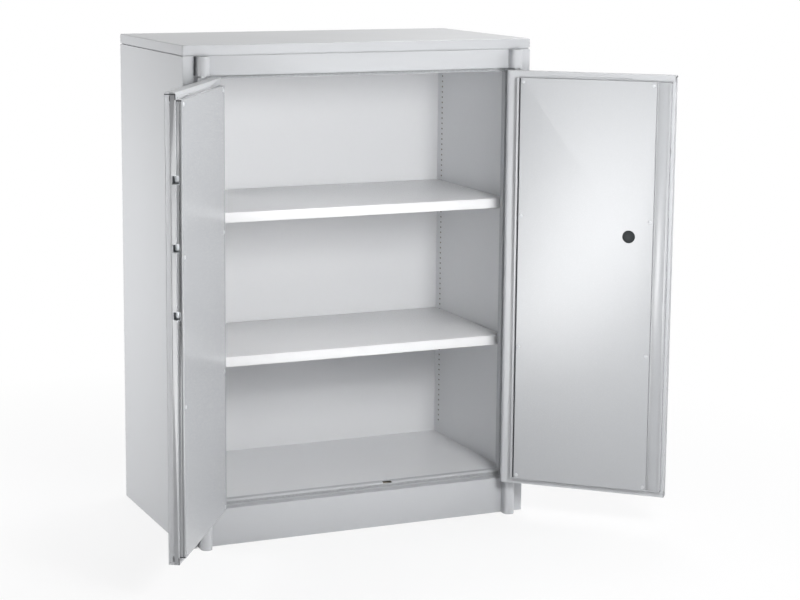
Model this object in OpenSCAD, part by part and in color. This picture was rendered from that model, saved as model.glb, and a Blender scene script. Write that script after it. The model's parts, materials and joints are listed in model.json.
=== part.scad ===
// Two-door fireproof cabinet with stepped double-wall doors, a perimeter gap at every joint,
// rod and bolt locking and two adjustable shelves.
// Origin: centre of the footprint on the floor. X to the right, Y to the back, Z up.
// The doors stand open, and each door is drawn in its own frame: X along the door from the
// hinge axis to the free edge, Y from the hinge axis towards the inside, Z up.

/* [Body] */
// Width over the side panels
body_w = 900; // [800:10:1000]
// Depth without the hinge columns
body_d = 500; // [440:10:600]
// Height over the top plate
body_h = 1200; // [1120:10:1400]
// Thickness of the top plate
top_t = 22.5; // [18:0.5:35]
// Height of the shadow gap under the top plate
shadow_gap = 3; // [2:0.5:6]
// How far the shadow gap is set back
shadow_inset = 4; // [2:0.5:10]
// Height of the header face above the doors
header_h = 45.5; // [40:0.5:70]
// Height of the plinth up to its ledge
plinth_h = 90; // [70:1:120]
// Rise of the sill from the ledge to the cabinet floor
sill_rise = 14; // [10:1:25]
// Drop of the lintel lip below the header
lintel_drop = 10; // [8:1:14]
// Depth of the rebate that takes the doors
rebate = 27; // [27:0.5:32]
// Sheet thickness of the outer skins
sheet = 1.5; // [1.2:0.1:2]
// Sheet thickness of the inner lining and the shelves
lining = 1.2; // [1:0.1:1.5]

/* [Walls] */
// Thickness of a side wall
side_wall = 35; // [30:1:50]
// Thickness of the back wall
back_wall = 47; // [40:1:60]
// Width of the corner post beside each door
post_w = 28; // [24:1:40]
// Width of the slot between corner post and door
slot_w = 4; // [3:0.5:8]
// How far each jamb lip stands inside the lining
jamb_lip = 19; // [10:1:20]
// Depth of the jamb behind the rebate
jamb_d = 18; // [14:1:24]
// Air gap between lining and side board
board_gap = 4.8; // [4:0.1:8]
// Outer bend radius of the body sheets
bend_r = 3; // [2:0.5:5]
// Width of the folds along the back of the side panels
rear_fold = 20; // [14:1:30]
// Fitting gap round boards and liners
fit = 0.25; // [0.1:0.05:0.4]

/* [Doors] */
// Thickness of the outer layer of a door
outer_t = 25; // [22:0.5:25]
// Thickness of the inner layer of a door
inner_t = 14; // [13.5:0.5:16]
// Gap between the two closed doors
seam = 3; // [2.5:0.5:5]
// Gap under the closed doors
gap_low = 2; // [1.8:0.1:4]
// Gap above the closed doors
gap_high = 3; // [2:0.5:5]
// Step from the outer layer to the inner layer at top and bottom
step_z = 16; // [16:1:24]
// Step at the hinge side, from the hinge axis
step_hinge = 15.5; // [14:0.5:20]
// Step at the free edge of the left door
step_left = 2; // [1:0.5:3]
// Step at the free edge of the right door
step_right = 7; // [5:0.5:9]
// Corner radius of the outer layer at the hinge side
hinge_corner_r = 10; // [9:0.5:12]
// Angle of the left door from closed
left_open = 122.8; // [90:0.1:180]
// Angle of the right door from closed
right_open = 137.3; // [90:0.1:180]

/* [Hinge column] */
// Half width and nose radius of the hinge columns
nose_r = 14; // [13:0.5:16]
// Distance of the hinge axis in front of the doors
nose_out = 15; // [15:0.5:18]
// Gap between a door column and its posts
column_gap = 4; // [3:0.5:6]
// Diameter of the hinge pins
pin_d = 12; // [8:0.5:14]
// How far a pin reaches into the door
pin_reach = 36; // [20:1:60]
// Outer diameter of the hinge bushes
bush_d = 25; // [22:0.5:25]
// Running clearance of pins and spindles on the radius
run = 0.05; // [0.02:0.01:0.08]

/* [Door lining] */
// Height of the low part of the inner frame above the outer layer
frame_low = 7.5; // [7.5:0.1:8]
// Height of the shadow groove between frame and panel
groove = 1.5; // [1:0.1:2]
// Width of the raised lips of the inner frame
lip_w = 7; // [6:0.5:7.5]
// Gap between a lip and the panel
panel_gap = 3.7; // [2:0.1:5]
// Distance of the right panel's free edge from the door's free edge
panel_free = 41.5; // [40:0.5:46]
// Width of the edge cover strip
cover_w = 22; // [18:0.5:23]
// Distance of the panel screws from the hinge axis
screw_a = 33.5; // [31:0.5:40]
// Distance of the top and bottom screws from the ends of the panel
screw_end = 9; // [7:0.5:14]

/* [Shelves] */
// Height of a shelf's edge
shelf_t = 24; // [18:1:30]
// Hole that carries the lower shelf, counted from the floor
lower_hole = 20; // [16:1:24]
// Hole that carries the upper shelf, counted from the floor
upper_hole = 45; // [41:1:49]
// Pitch of the shelf holes
hole_pitch = 14; // [13:0.5:16]
// Height of the first hole above the floor
hole_start = 35; // [30:1:60]
// Distance from the frame face to the front edge of a shelf
shelf_back = 23; // [20:1:60]
// Gap between shelf and lining
shelf_gap = 1.5; // [1:0.5:4]

/* [Lock] */
// Distance of the handle spindle from the door's free edge
lock_edge = 100.5; // [100.5:0.5:112]
// Height of the handle spindle
lock_z = 735.5; // [650:0.5:800]
// Height of the middle bolt
bolt_z = 793; // [780:1:840]
// Distance between the bolts
bolt_pitch = 147; // [100:1:200]
// Height of a bolt
bolt_h = 16; // [12:0.5:18]
// Crank radius of the lock disc
crank_r = 16; // [16:0.1:16.5]
// Diameter of the handle spindle
spindle_d = 10; // [8:0.5:10]
// Width of the locking rods
rod_w = 20; // [19:0.5:20]
// Distance from the spindle to the key cylinder
key_rise = 57.5; // [50:0.5:70]
// Diameter of the black cap over the spindle
cap_d = 31; // [29.5:0.5:36]
// Length of the turning grip
grip_l = 104; // [80:2:130]

/* [Left edge bolts] */
// Diameter of the edge bolts
edge_bolt_d = 8; // [6:0.5:8]
// Travel of the edge bolts
edge_travel = 12; // [8:1:14]
// How far an edge bolt stands proud when it is drawn back
edge_proud = 1.5; // [0.5:0.1:1.5]

/* [Hidden] */
$fn = 48;
small_fn = 24;
eps = 1;
half_w = body_w / 2;
half_d = body_d / 2;
front = -half_d;
body_top = body_h - top_t - shadow_gap;
header_z = body_top - header_h;
floor_z = plinth_h + sill_rise;
ceiling_z = header_z - lintel_drop;
frame_y = front + rebate;
liner_y = frame_y + jamb_d;
liner_x = half_w - side_wall;
back_y = half_d - back_wall;
opening_x = liner_x - jamb_lip;
post_x = half_w - post_w;
board_x = liner_x + lining + board_gap;
top_fold = 15;
board_top = body_top - sheet - fit;

hinge_x = post_x - slot_w - nose_r;
hinge_y = front - nose_out;
door_l = hinge_x - seam / 2;
door_z0 = plinth_h + gap_low;
door_z1 = header_z - gap_high;
door_t = outer_t + inner_t;
inner_z0 = door_z0 + step_z;
inner_z1 = door_z1 - step_z;
frame_top = outer_t + frame_low;
skirt_b = frame_top + groove;
panel_a = step_hinge + lip_w + panel_gap;
member_w = 20.5;
rail_h = 14;
rim_in = 12;
rivet_hinge = 92;
rivet_mid = 104.5;
rivet_free = 19.5;

post_low_z = door_z0 - column_gap;
post_high_z = door_z1 + column_gap;
pin_low_z = 20;
pin_top_z = body_top - 8;
washer_gap = 0.3;

lock_a = door_l - lock_edge;
disc_r = crank_r + 8;
disc_t = 3;
crank_pin_r = 3;
crank_slack = 0.6;
travel = 2 * crank_r * sin(45);
arm_b = outer_t + 1;
arm_t = 3;
bolt_t = 4.5;
disc_b = arm_b + arm_t + 0.5;
rod_b = disc_b + disc_t + 0.5;
rod_t = 4;
rod_side = 15.7;
rod_tail = 12;
notch_d = 4;
notch_room = 1.5;
upper_rod_a = lock_a - rod_side;
lower_rod_a = lock_a + rod_side;
bolt_zs = [bolt_z - bolt_pitch, bolt_z, bolt_z + bolt_pitch];
right_frame_a = door_l - step_right;
left_frame_a = door_l - step_left;
right_panel_end = door_l - panel_free;
left_panel_end = left_frame_a - 0.5;
cover_a = right_frame_a - lip_w - cover_w - 0.2;
bolt_bar_w = 12;
bolt_stub = 10;
bolt_tip = right_frame_a - 0.5;
bolt_bar_a = bolt_tip - travel - bolt_stub - bolt_bar_w;
key_z = lock_z + key_rise;
key_plug_r = 7;
key_body_r = 11;
keep_wall = 1.2;
keep_d = 18.5;
keep_b = 15.2;
keep_b1 = frame_top - 0.4;
bolt_play = 0.4;
keep_h = bolt_h + 2 * bolt_play + 2 * keep_wall;
edge_a = door_l - 10.5;
edge_b = 12;
edge_l = 60;
edge_lever_t = 4;
edge_seam_w = 2;
edge_seam_d = 0.9;
edge_lip = 1.2;
edge_lever_low = door_z0 + sheet + edge_travel + 6;
edge_lever_high = door_z1 - sheet - edge_travel - 6 - edge_lever_t;
guide_t = 6;
guide_z = edge_l - edge_travel - 2;
left_board_end = door_l - keep_d - 2;

shelf_x = liner_x - shelf_gap;
shelf_y0 = frame_y + shelf_back;
shelf_y1 = back_y - 5;
clip_rise = 6;
hole_w = 9;
hole_h = 4;
hole_count = floor((ceiling_z - floor_z - 2 * hole_start) / hole_pitch) + 1;
hole_front = 15;
hole_rear = 25;
hole_ys = [liner_y + hole_front, back_y - hole_rear];
lower_shelf_z = floor_z + hole_start + hole_pitch * lower_hole + clip_rise;
upper_shelf_z = floor_z + hole_start + hole_pitch * upper_hole + clip_rise;

panel_screw_zs = [for (k = [0:3]) inner_z0 + screw_end + k * (inner_z1 - inner_z0 - 2 * screw_end) / 3];
rim_rivet_as = [rivet_hinge, door_l - rivet_mid, door_l - rivet_free];

body_grey = [0.80, 0.81, 0.82];
lining_grey = [0.76, 0.78, 0.80];
door_white = [0.88, 0.89, 0.90];
board_cream = [0.85, 0.83, 0.77];
steel = [0.70, 0.71, 0.72];
brass = [0.78, 0.66, 0.38];
black = [0.16, 0.18, 0.19];
seal_grey = [0.62, 0.63, 0.64];

// Straight block between two opposite corners
module block(lo, hi) {
    translate(lo)
        cube(hi - lo);
}

// Sheet-metal box that is open towards one side
module tray(lo, hi, t, open) {
    difference() {
        block(lo, hi);
        block([for (i = [0:2]) lo[i] + (open[i] < 0 ? -eps : t)],
              [for (i = [0:2]) hi[i] - (open[i] > 0 ? -eps : t)]);
    }
}

// Rectangle with round corners
module round_rect(lo, hi, r) {
    translate([lo.x + r, lo.y])
        square([hi.x - lo.x - 2 * r, hi.y - lo.y]);
    translate([lo.x, lo.y + r])
        square([hi.x - lo.x, hi.y - lo.y - 2 * r]);
    for (x = [lo.x + r, hi.x - r], y = [lo.y + r, hi.y - r])
        translate([x, y])
            circle(r = r, $fn = small_fn);
}

module rise(z0, z1) {
    translate([0, 0, z0])
        linear_extrude(height = z1 - z0)
            children();
}

// Places a door's own frame in the cabinet, at the open angle
module on_left() {
    translate([-hinge_x, hinge_y, 0])
        rotate([0, 0, -left_open])
            children();
}

module on_right() {
    translate([hinge_x, hinge_y, 0])
        rotate([0, 0, right_open])
            mirror([1, 0, 0])
                children();
}

// Distance from the hinge axis to a depth behind the door's outer face
function deep(b) = nose_out + b;

// Shape along the door, from its outer face inwards, as a plan profile
module door_plan(z0, z1) {
    translate([0, nose_out, 0])
        rise(z0, z1)
            children();
}

// Block in a door's frame: distance along the door, depth behind its outer face, height
module door_block(a0, a1, b0, b1, z0, z1) {
    block([a0, deep(b0), z0], [a1, deep(b1), z1]);
}

// Round bar across the door, from depth b0 to depth b1
module door_bar(a, z, r, b0, b1) {
    translate([a, deep(b0), z])
        rotate([-90, 0, 0])
            cylinder(r = r, h = b1 - b0);
}

// Body

module top_outline(inset) {
    corner_r = 4;
    round_rect([-half_w + inset, -half_d + inset], [half_w - inset, half_d - inset],
               corner_r - inset / 2);
}

module top_plate() {
    edge = 2;
    color(body_grey)
        difference() {
            hull() {
                rise(body_h - top_t, body_h - edge)
                    top_outline(0);
                rise(body_h - 0.9, body_h - 0.6)
                    top_outline(0.6);
                rise(body_h - 0.2, body_h)
                    top_outline(edge);
            }
            block([-half_w + sheet, -half_d + sheet, body_h - top_t + sheet],
                  [half_w - sheet, half_d - sheet, body_h - sheet]);
            block([-half_w + rear_fold, -half_d + rear_fold, body_h - top_t - eps],
                  [half_w - rear_fold, half_d - rear_fold, body_h - sheet]);
        }
}

module top_filler_board() {
    color(board_cream)
        block([-half_w + sheet + fit, -half_d + sheet + fit, body_h - top_t + sheet + fit],
              [half_w - sheet - fit, half_d - sheet - fit, body_h - sheet - fit]);
}

module body_top_sheet() {
    inset = shadow_inset;
    color(body_grey)
        block([-half_w + inset, -half_d + inset, body_top],
              [half_w - inset, half_d - inset, body_top + shadow_gap]);
}

// Side panel with the corner post folded at the front and narrow folds at the back and the top
module side_panel() {
    color(body_grey) {
        rise(0, body_top) {
            difference() {
                intersection() {
                    round_rect([-half_w, -half_d], [half_w, half_d], bend_r);
                    union() {
                        translate([post_x, -half_d])
                            square([post_w, half_d]);
                        translate([half_w - rear_fold, 0])
                            square([rear_fold, half_d]);
                    }
                }
                round_rect([-half_w + sheet, -half_d + sheet], [half_w - sheet, half_d - sheet],
                           bend_r - sheet);
            }
            translate([post_x, front])
                square([sheet, rebate]);
        }
        block([half_w - sheet - top_fold, -half_d + sheet + bend_r, body_top - sheet],
              [half_w - sheet / 2, half_d - sheet - bend_r, body_top]);
    }
}

module side_panel_right() {
    side_panel();
}

module side_panel_left() {
    mirror([1, 0, 0])
        side_panel();
}

module back_panel() {
    color(body_grey)
        block([-half_w + bend_r + fit, half_d - 2 * sheet, 0],
              [half_w - bend_r - fit, half_d - sheet, board_top]);
}

module bottom_sheet() {
    color(body_grey)
        block([-half_w + sheet + fit, frame_y + sheet + fit, 0],
              [half_w - sheet - fit, half_d - 2 * sheet - fit, sheet]);
}

// Places where the left door's edge bolts enter the header and the plinth
module edge_bolt_holes(z0, z1) {
    translate([-hinge_x + edge_a, front + edge_b, z0])
        cylinder(d = edge_bolt_d + 1, h = z1 - z0);
}

module header() {
    color(body_grey)
        difference() {
            tray([-post_x + slot_w, front, header_z], [post_x - slot_w, frame_y, body_top],
                 sheet, [0, 1, 0]);
            edge_bolt_holes(header_z - eps, header_z + sheet + eps);
        }
}

module plinth() {
    color(body_grey)
        difference() {
            tray([-post_x + slot_w, front, 0], [post_x - slot_w, frame_y, plinth_h],
                 sheet, [0, 1, 0]);
            edge_bolt_holes(plinth_h - sheet - eps, plinth_h + eps);
        }
}

// Notch that takes the end of a locking rod of the closed right door
module rod_notch(a, z_lip, z_face) {
    low = min(z_lip, z_face);
    high = max(z_lip, z_face);
    side_room = 2;
    block([hinge_x - a - rod_w / 2 - side_room, frame_y - eps, low],
          [hinge_x - a + rod_w / 2 + side_room, front + rod_b + rod_t + notch_room, high]);
}

module lintel() {
    color(body_grey)
        difference() {
            union() {
                block([-opening_x, frame_y, ceiling_z], [opening_x, frame_y + sheet, board_top]);
                block([-opening_x, frame_y, ceiling_z], [opening_x, liner_y, ceiling_z + sheet]);
            }
            rod_notch(upper_rod_a, ceiling_z - eps, ceiling_z + notch_d);
        }
}

module sill() {
    color(body_grey)
        difference() {
            union() {
                block([-opening_x, frame_y, 0], [opening_x, frame_y + sheet, floor_z]);
                block([-opening_x, frame_y, floor_z - sheet], [opening_x, liner_y, floor_z]);
            }
            rod_notch(lower_rod_a, floor_z - notch_d, floor_z + eps);
        }
}

module jamb() {
    color(body_grey) {
        block([opening_x, frame_y, 0], [half_w - sheet - fit, frame_y + sheet, board_top]);
        block([opening_x, frame_y, sheet + fit], [opening_x + sheet, liner_y, board_top]);
        block([opening_x, liner_y - sheet, floor_z], [liner_x + lining, liner_y, ceiling_z]);
    }
}

module jamb_right() {
    jamb();
}

module jamb_left() {
    mirror([1, 0, 0])
        jamb();
}

// Lining and boards

module shelf_hole(y, k) {
    translate([liner_x - eps, y - hole_w / 2, floor_z + hole_start + hole_pitch * k - hole_h / 2])
        cube([lining + 2 * eps, hole_w, hole_h]);
}

module lining_side() {
    color(lining_grey)
        difference() {
            block([liner_x, liner_y, floor_z], [liner_x + lining, back_y, ceiling_z]);
            for (y = hole_ys, k = [0:hole_count - 1])
                shelf_hole(y, k);
        }
}

module lining_right() {
    lining_side();
}

module lining_left() {
    mirror([1, 0, 0])
        lining_side();
}

module lining_back() {
    color(lining_grey)
        block([-liner_x - lining, back_y, floor_z], [liner_x + lining, back_y + lining, ceiling_z]);
}

module lining_ceiling() {
    color(lining_grey)
        block([-liner_x - lining, liner_y, ceiling_z],
              [liner_x + lining, back_y + lining, ceiling_z + lining]);
}

module cabinet_floor() {
    color(lining_grey)
        block([-liner_x - lining, liner_y, floor_z - lining],
              [liner_x + lining, back_y + lining, floor_z]);
}

module board_side() {
    color(board_cream)
        block([board_x, frame_y + sheet + fit, sheet + fit],
              [half_w - sheet - fit, half_d - 2 * sheet - fit, board_top]);
}

module board_right() {
    board_side();
}

module board_left() {
    mirror([1, 0, 0])
        board_side();
}

module board_back() {
    color(board_cream)
        block([-board_x + fit, back_y + lining + fit, sheet + fit],
              [board_x - fit, half_d - 2 * sheet - fit, board_top]);
}

module board_top() {
    color(board_cream)
        block([-board_x + fit, liner_y, ceiling_z + lining + fit],
              [board_x - fit, back_y + lining, board_top]);
}

module board_floor() {
    color(board_cream)
        block([-board_x + fit, liner_y, sheet + fit],
              [board_x - fit, back_y + lining, floor_z - lining - fit]);
}

// Hinge columns

// Flat sides towards the door or the body, half-round front, about the hinge axis
module nose_plan() {
    circle(r = nose_r);
    translate([-nose_r, 0])
        square([2 * nose_r, nose_out]);
}

module post(side, z0, z1, hole_z0, hole_z1) {
    color(body_grey)
        translate([side * hinge_x, hinge_y, 0])
            difference() {
                rise(z0, z1)
                    nose_plan();
                translate([0, 0, hole_z0])
                    cylinder(d = pin_d, h = hole_z1 - hole_z0);
            }
}

module post_upper_left() {
    post(-1, post_high_z, body_top, post_high_z - eps, pin_top_z);
}

module post_upper_right() {
    post(1, post_high_z, body_top, post_high_z - eps, pin_top_z);
}

module post_lower_left() {
    post(-1, 0, post_low_z, pin_low_z, post_low_z + eps);
}

module post_lower_right() {
    post(1, 0, post_low_z, pin_low_z, post_low_z + eps);
}

module hinge_pins() {
    color(steel)
        for (side = [-1, 1])
            translate([side * hinge_x, hinge_y, 0]) {
                translate([0, 0, pin_low_z])
                    cylinder(d = pin_d, h = door_z0 + pin_reach - pin_low_z);
                translate([0, 0, door_z1 - pin_reach])
                    cylinder(d = pin_d, h = pin_top_z - door_z1 + pin_reach);
            }
}

module thrust_washers() {
    color(brass)
        for (side = [-1, 1])
            translate([side * hinge_x, hinge_y, post_low_z])
                difference() {
                    cylinder(r = nose_r - 1, h = column_gap - washer_gap);
                    translate([0, 0, -eps])
                        cylinder(d = pin_d + 0.4, h = column_gap + 2 * eps);
                }
}

module column() {
    color(body_grey)
        rise(door_z0, door_z1)
            difference() {
                nose_plan();
                circle(d = bush_d);
            }
}

module bushes() {
    color(steel)
        for (z = [door_z0, door_z1 - pin_reach - 2])
            translate([0, 0, z])
                difference() {
                    cylinder(d = bush_d, h = pin_reach + 2);
                    translate([0, 0, -eps])
                        cylinder(d = pin_d + 2 * run, h = pin_reach + 2 + 2 * eps);
                }
}

module left_column() {
    on_left()
        column();
}

module right_column() {
    on_right()
        column();
}

module left_bushes() {
    on_left()
        bushes();
}

module right_bushes() {
    on_right()
        bushes();
}

// Strips on the frame face that the closed doors press against
module frame_seal() {
    t = 1.2;
    w = 6;
    y0 = frame_y - t;
    color(seal_grey) {
        for (side = [-1, 1])
            block([side * (opening_x + 6) - w / 2, y0, door_z0 + w + 3],
                  [side * (opening_x + 6) + w / 2, frame_y, door_z1 - w - 2]);
        block([-opening_x + eps, y0, ceiling_z + 1], [opening_x - eps, frame_y, door_z1 - fit]);
        block([-opening_x + eps, y0, door_z0 + eps], [opening_x - eps, frame_y, door_z0 + eps + w]);
    }
}

// Shelves

module shelf(z) {
    ret = 15;
    rib_w = 50;
    rib_d = 16;
    rib_end = 25;
    color(lining_grey)
        translate([0, 0, z]) {
            tray([-shelf_x, shelf_y0, 0], [shelf_x, shelf_y1, shelf_t], lining, [0, 0, -1]);
            block([-shelf_x, shelf_y0, 0], [shelf_x, shelf_y0 + ret, lining]);
            block([-shelf_x, shelf_y1 - ret, 0], [shelf_x, shelf_y1, lining]);
            tray([-shelf_x + rib_end, -rib_w / 2, shelf_t - rib_d],
                 [shelf_x - rib_end, rib_w / 2, shelf_t - lining / 2], lining, [0, 0, 1]);
        }
}

module upper_shelf() {
    shelf(upper_shelf_z);
}

module lower_shelf() {
    shelf(lower_shelf_z);
}

// Sheet-metal hook that hangs in one shelf hole and carries the shelf's lower edge
module shelf_clip(y, z) {
    w = 16;
    t = 1.6;
    ledge = 13;
    translate([0, y, z]) {
        block([liner_x - ledge, -w / 2, clip_rise - t], [liner_x, w / 2, clip_rise]);
        block([liner_x - t, -w / 2, -10], [liner_x, w / 2, clip_rise]);
        block([liner_x - eps, -hole_w / 2 + 0.4, -hole_h / 2 + 0.3],
              [liner_x + lining + 3, hole_w / 2 - 0.4, hole_h / 2 - 0.3]);
    }
}

module shelf_clips() {
    color(steel)
        for (z = [lower_shelf_z, upper_shelf_z], y = hole_ys, side = [0, 1])
            mirror([side, 0, 0])
                shelf_clip(y, z - clip_rise);
}

// Doors

// Plan of the outer layer with its round inner corner at the hinge side.
// Inset by the sheet thickness it is the plan of the cavity.
module outer_plan(inset) {
    corner = [-nose_r + hinge_corner_r, outer_t - hinge_corner_r];
    end_r = sheet + 0.5 - inset;
    end_a = door_l - inset;
    translate([corner.x, inset])
        square([end_a - end_r - corner.x, outer_t - 2 * inset]);
    translate([-nose_r + inset, inset])
        square([hinge_corner_r, corner.y - inset]);
    translate([corner.x, inset + end_r])
        square([end_a - corner.x, outer_t - 2 * inset - 2 * end_r]);
    translate(corner)
        circle(r = hinge_corner_r - inset);
    for (b = [inset + end_r, outer_t - inset - end_r])
        translate([end_a - end_r, b])
            circle(r = end_r, $fn = small_fn);
}

module shell() {
    door_plan(door_z0, door_z1)
        outer_plan(0);
}

module shell_cavity(frame_a) {
    door_plan(door_z0 + sheet, door_z1 - sheet)
        outer_plan(sheet);
    door_block(step_hinge + rim_in, frame_a - rim_in - 3, outer_t - sheet - eps, outer_t + eps,
               inner_z0 + rim_in, inner_z1 - rim_in);
}

module rim_rivets() {
    rivet_r = 2.5;
    from_frame = 4;
    for (a = rim_rivet_as, z = [inner_z0 - from_frame, inner_z1 + from_frame])
        door_bar(a, z, rivet_r, outer_t - sheet / 2, outer_t + 0.8);
}

// Room in the left door's edge for the bolt keeps
module keep_slots() {
    for (z = bolt_zs)
        door_block(door_l - keep_d, door_l + eps, keep_b, keep_b1,
                   z - keep_h / 2, z + keep_h / 2);
}

// Seam down the free edge where the outer skin meets the inner pan, with its lips eased,
// and the joints under the top and bottom folds
module edge_seams() {
    half = edge_seam_w / 2;
    joint = 1.2;
    door_plan(door_z0 - eps, door_z1 + eps)
        translate([door_l, edge_b])
            polygon([[-edge_seam_d, -half], [-edge_lip / 2, -half], [eps, -half - edge_lip - eps],
                     [eps, half + edge_lip + eps], [-edge_lip / 2, half], [-edge_seam_d, half]]);
    for (z = [door_z0 + 2 * sheet, door_z1 - 2 * sheet - joint])
        door_block(door_l - edge_seam_d, door_l + eps, 2 * sheet, outer_t - 2 * sheet, z, z + joint);
}

module edge_lever_slots() {
    for (z = [edge_lever_low - edge_travel - 1, edge_lever_high - 1])
        door_block(door_l - sheet - eps, door_l + eps, edge_b - edge_seam_w / 2,
                   edge_b + edge_seam_w / 2, z, z + edge_travel + edge_lever_t + 2);
}

// Brackets that guide the inner ends of the edge bolts
module edge_guides() {
    for (z = [door_z0 + guide_z, door_z1 - guide_z - guide_t])
        difference() {
            door_block(left_board_end + 1, door_l - sheet / 2, sheet / 2, edge_b + edge_bolt_d,
                       z, z + guide_t);
            translate([edge_a, deep(edge_b), z - eps])
                cylinder(d = edge_bolt_d + 2 * run, h = guide_t + 2 * eps);
        }
}

module left_shell() {
    color(body_grey)
        on_left() {
            difference() {
                shell();
                shell_cavity(left_frame_a);
                keep_slots();
                edge_seams();
                edge_lever_slots();
                translate([edge_a, deep(edge_b), door_z0 - eps])
                    cylinder(d = edge_bolt_d + 2 * run, h = door_z1 - door_z0 + 2 * eps);
            }
            edge_guides();
            rim_rivets();
        }
}

module right_shell() {
    color(body_grey)
        on_right() {
            difference() {
                shell();
                shell_cavity(right_frame_a);
                edge_seams();
                door_bar(lock_a, lock_z, spindle_d / 2 + 2, -eps, sheet + eps);
                door_bar(lock_a, key_z, key_body_r + fit, -eps, sheet + eps);
            }
            rim_rivets();
        }
}

module left_board() {
    color(board_cream)
        on_left()
            door_block(-nose_r + hinge_corner_r, left_board_end, sheet + fit,
                       outer_t - sheet - fit, door_z0 + sheet + fit, door_z1 - sheet - fit);
}

module right_board() {
    color(board_cream)
        on_right()
            difference() {
                door_block(-nose_r + hinge_corner_r, door_l - sheet - fit, sheet + fit,
                           outer_t - sheet - fit, door_z0 + sheet + fit, door_z1 - sheet - fit);
                door_bar(lock_a, lock_z, spindle_d / 2 + 3, 0, outer_t);
                door_bar(lock_a, key_z, key_body_r + 1, 0, outer_t);
            }
}

// Raised lip of the inner frame with its outer corner rounded
module lip_plan(a, outward) {
    r = 3;
    translate([a, 0]) {
        translate([0, outer_t])
            square([lip_w, inner_t - r]);
        translate([outward < 0 ? r : 0, outer_t])
            square([lip_w - r, inner_t]);
        translate([outward < 0 ? r : lip_w - r, door_t - r])
            circle(r = r, $fn = small_fn);
    }
}

// Rails at the top and the bottom of the inner frame
module frame_rails(a0, a1) {
    for (z = [inner_z0, inner_z1 - rail_h])
        door_block(a0, a1, outer_t, frame_top, z, z + rail_h);
}

module hinge_member() {
    door_plan(inner_z0, inner_z1) {
        translate([step_hinge, outer_t])
            square([member_w, frame_low]);
        lip_plan(step_hinge, -1);
    }
}

module left_frame() {
    color(door_white)
        on_left() {
            hinge_member();
            difference() {
                door_block(left_frame_a - member_w, left_frame_a, outer_t, frame_top,
                           inner_z0, inner_z1);
                keep_slots();
            }
            frame_rails(step_hinge + member_w, left_frame_a - member_w);
        }
}

module right_frame() {
    under_panel = 16;
    wall = 3;
    skin = 1;
    bar_room = 4;
    member_a = right_panel_end - under_panel;
    channel_a = bolt_bar_a - wall;
    color(door_white)
        on_right() {
            hinge_member();
            difference() {
                union() {
                    door_block(member_a, right_frame_a, outer_t, frame_top, inner_z0, inner_z1);
                    door_plan(inner_z0, inner_z1)
                        lip_plan(right_frame_a - lip_w, 1);
                }
                door_block(member_a - eps, right_frame_a - wall, outer_t - eps, frame_top - skin,
                           bolt_zs[0] - bolt_h / 2 - bar_room, bolt_zs[2] + bolt_h / 2 + bar_room);
                for (z = bolt_zs)
                    door_block(channel_a, right_frame_a + eps,
                               arm_b - bolt_play, arm_b + bolt_t + bolt_play,
                               z - bolt_h / 2 - bolt_play, z + bolt_h / 2 + bolt_play);
            }
            frame_rails(step_hinge + member_w, member_a);
        }
}

// Folded inner panel; its lower fold is set back, which leaves a shadow groove round it
module inner_panel(a0, a1) {
    back = 2;
    difference() {
        union() {
            door_plan(inner_z0, inner_z1)
                panel_plan(a0, a1);
            door_block(a0 + back, a1 - back, frame_top, skirt_b + eps,
                       inner_z0 + back, inner_z1 - back);
        }
        door_block(a0 + back + sheet, a1 - back - sheet, frame_top - eps, door_t - sheet,
                   inner_z0 + back + sheet, inner_z1 - back - sheet);
    }
}

module panel_plan(a0, a1) {
    r = 1.5;
    translate([a0, skirt_b])
        square([a1 - a0, door_t - skirt_b - r]);
    translate([a0 + r, skirt_b])
        square([a1 - a0 - 2 * r, door_t - skirt_b]);
    for (a = [a0 + r, a1 - r])
        translate([a, door_t - r])
            circle(r = r, $fn = small_fn);
}

module left_panel() {
    color(door_white)
        on_left()
            inner_panel(panel_a, left_panel_end);
}

module right_panel() {
    color(door_white)
        on_right()
            difference() {
                inner_panel(panel_a, right_panel_end);
                door_bar(lock_a, lock_z, cap_d / 2 - 1.5, door_t - sheet - eps, door_t + eps);
                door_block(upper_rod_a - rod_w / 2 - 1, upper_rod_a + rod_w / 2 + 1,
                           frame_top - eps, door_t - sheet, inner_z1 - 5, inner_z1 + eps);
                door_block(lower_rod_a - rod_w / 2 - 1, lower_rod_a + rod_w / 2 + 1,
                           frame_top - eps, door_t - sheet, inner_z0 - eps, inner_z0 + 5);
            }
}

module edge_cover() {
    color(door_white)
        on_right()
            door_block(cover_a, cover_a + cover_w, frame_top, door_t - 1,
                       inner_z0 + 0.5, inner_z1 - 0.5);
}

// Dome-headed panel screws
module panel_screws(as) {
    head_r = 4.2;
    head_h = 1.8;
    color(steel)
        for (a = as, z = panel_screw_zs) {
            translate([a, deep(door_t), z])
                rotate([-90, 0, 0])
                    intersection() {
                        cylinder(r = head_r, h = head_h, $fn = small_fn);
                        translate([0, 0, head_h - 6])
                            sphere(r = 6, $fn = small_fn);
                    }
        }
}

module left_screws() {
    on_left()
        panel_screws([screw_a, left_panel_end - 9.5]);
}

module right_screws() {
    on_right()
        panel_screws([screw_a, right_panel_end - 8.5]);
}

// Pockets in the left door that take the three bolts
module bolt_keeps() {
    color(steel)
        on_left()
            difference() {
                intersection() {
                    keep_slots();
                    door_block(0, left_frame_a, 0, door_t, door_z0, door_z1);
                }
                for (z = bolt_zs)
                    door_block(door_l - keep_d + keep_wall, door_l + eps,
                               keep_b + keep_wall, keep_b1 - keep_wall,
                               z - keep_h / 2 + keep_wall, z + keep_h / 2 - keep_wall);
            }
}

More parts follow.
